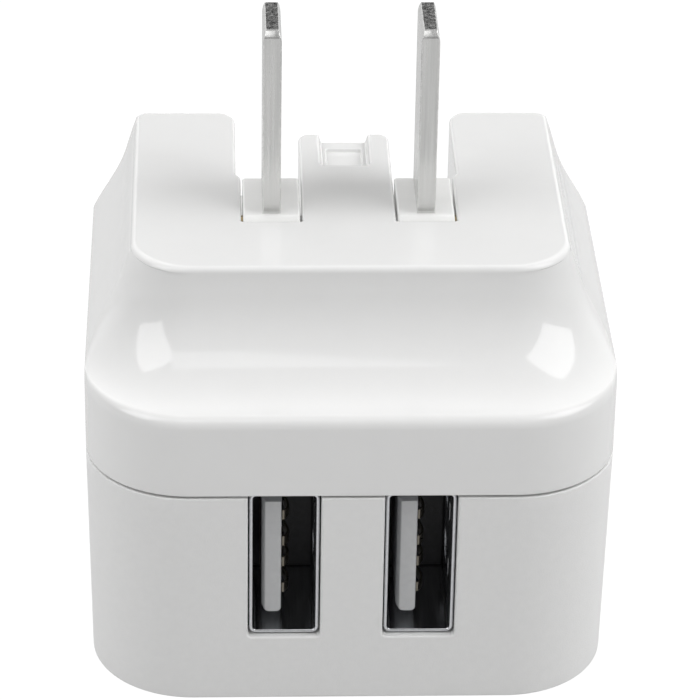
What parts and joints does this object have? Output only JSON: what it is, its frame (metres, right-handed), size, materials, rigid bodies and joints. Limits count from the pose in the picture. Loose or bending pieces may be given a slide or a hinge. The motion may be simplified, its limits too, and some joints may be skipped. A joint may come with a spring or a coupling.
{
  "type": "usb wall charger",
  "caption": "Compact USB wall charger: white two-part body with a raised wall-side hump, folding flat blades, and upright USB sockets in the front face.",
  "frame": {"origin": "centre of the footprint, on the flat back face the charger lies on", "axes": "+Z from the back face through the wall-side face and along the extended blades; -Y out of the USB sockets; +Y to the far end the blades fold towards; +X to the right when looking at the sockets with the blades up"},
  "size_m": [0.0432, 0.0374, 0.0521],
  "materials": {
    "gloss_white": "high gloss moulded white",
    "satin_white": "fine satin moulded white",
    "rotor_white": "glossy moulded white",
    "plated_blade": "bright nickel plating with fine brushing",
    "brass": "turned brass",
    "inner_plastic": "plain moulding",
    "steel_screw": "zinc plated steel",
    "spring_steel": "cold rolled spring steel",
    "spring_brass": "stamped spring brass",
    "lead_dark": "soft insulation",
    "lead_pale": "soft insulation",
    "socket_steel": "nickel plated steel sheet",
    "socket_plastic": "pale grey moulding",
    "carrier_black": "black moulding",
    "contact_gold": "gold flashed contact",
    "board_green": "solder mask over glass laminate",
    "tinned_leg": "tinned wire",
    "ferrite": "ground ferrite",
    "bobbin_black": "moulded phenolic",
    "winding_tape": "polyester tape over wire",
    "sleeve_blue": "shrink sleeve over an aluminium can",
    "sleeve_violet": "shrink sleeve over an aluminium can",
    "copper_wire": "enamelled copper wire",
    "film_yellow": "moulded box",
    "disc_blue": "dipped coating",
    "fuse_brown": "coated body",
    "chip_black": "moulded package",
    "chip_white": "moulded package",
    "resistor_dark": "thick film chip",
    "sheet_cream": "pressed insulation paper"
  },
  "bodies": {
    "housing": {"top_shell": "gloss_white", "bottom_shell": "satin_white", "rotor_retainer": "inner_plastic", "retainer_screws": "steel_screw", "detent_spring": "spring_steel", "contact_spring_left": "spring_brass", "contact_spring_right": "spring_brass", "lead_live": "lead_dark", "lead_neutral": "lead_pale", "usb_shell_left": "socket_steel", "usb_shell_right": "socket_steel", "usb_insulator_left": "socket_plastic", "usb_insulator_right": "socket_plastic", "usb_carrier_left": "carrier_black", "usb_carrier_right": "carrier_black", "usb_contacts_left": "contact_gold", "usb_contacts_right": "contact_gold", "main_pcb": "board_green", "component_pins": "tinned_leg", "transformer_core": "ferrite", "transformer_bobbin": "bobbin_black", "transformer_winding": "winding_tape", "input_capacitors": "sleeve_blue", "output_capacitors": "sleeve_violet", "choke_core": "ferrite", "choke_winding": "copper_wire", "x_capacitor": "film_yellow", "y_capacitor": "disc_blue", "fuse": "fuse_brown", "bridge_rectifier": "chip_black", "controller_chip": "chip_black", "optocoupler": "chip_white", "output_diode": "chip_black", "charging_chip": "chip_black", "chip_resistors": "resistor_dark", "insulating_sheet": "sheet_cream"},
    "blades": {"prong_rotor": "rotor_white", "blade_left": "plated_blade", "blade_right": "plated_blade", "trunnion_pin_left": "brass", "trunnion_pin_right": "brass"}
  },
  "joints": [
    {"name": "blade_fold", "type": "hinge", "parent": "housing", "child": "blades", "pos_m": [0, 0.00035, 0.0339], "axis": [-1, 0, 0], "range_deg": [0, 90]}
  ]
}
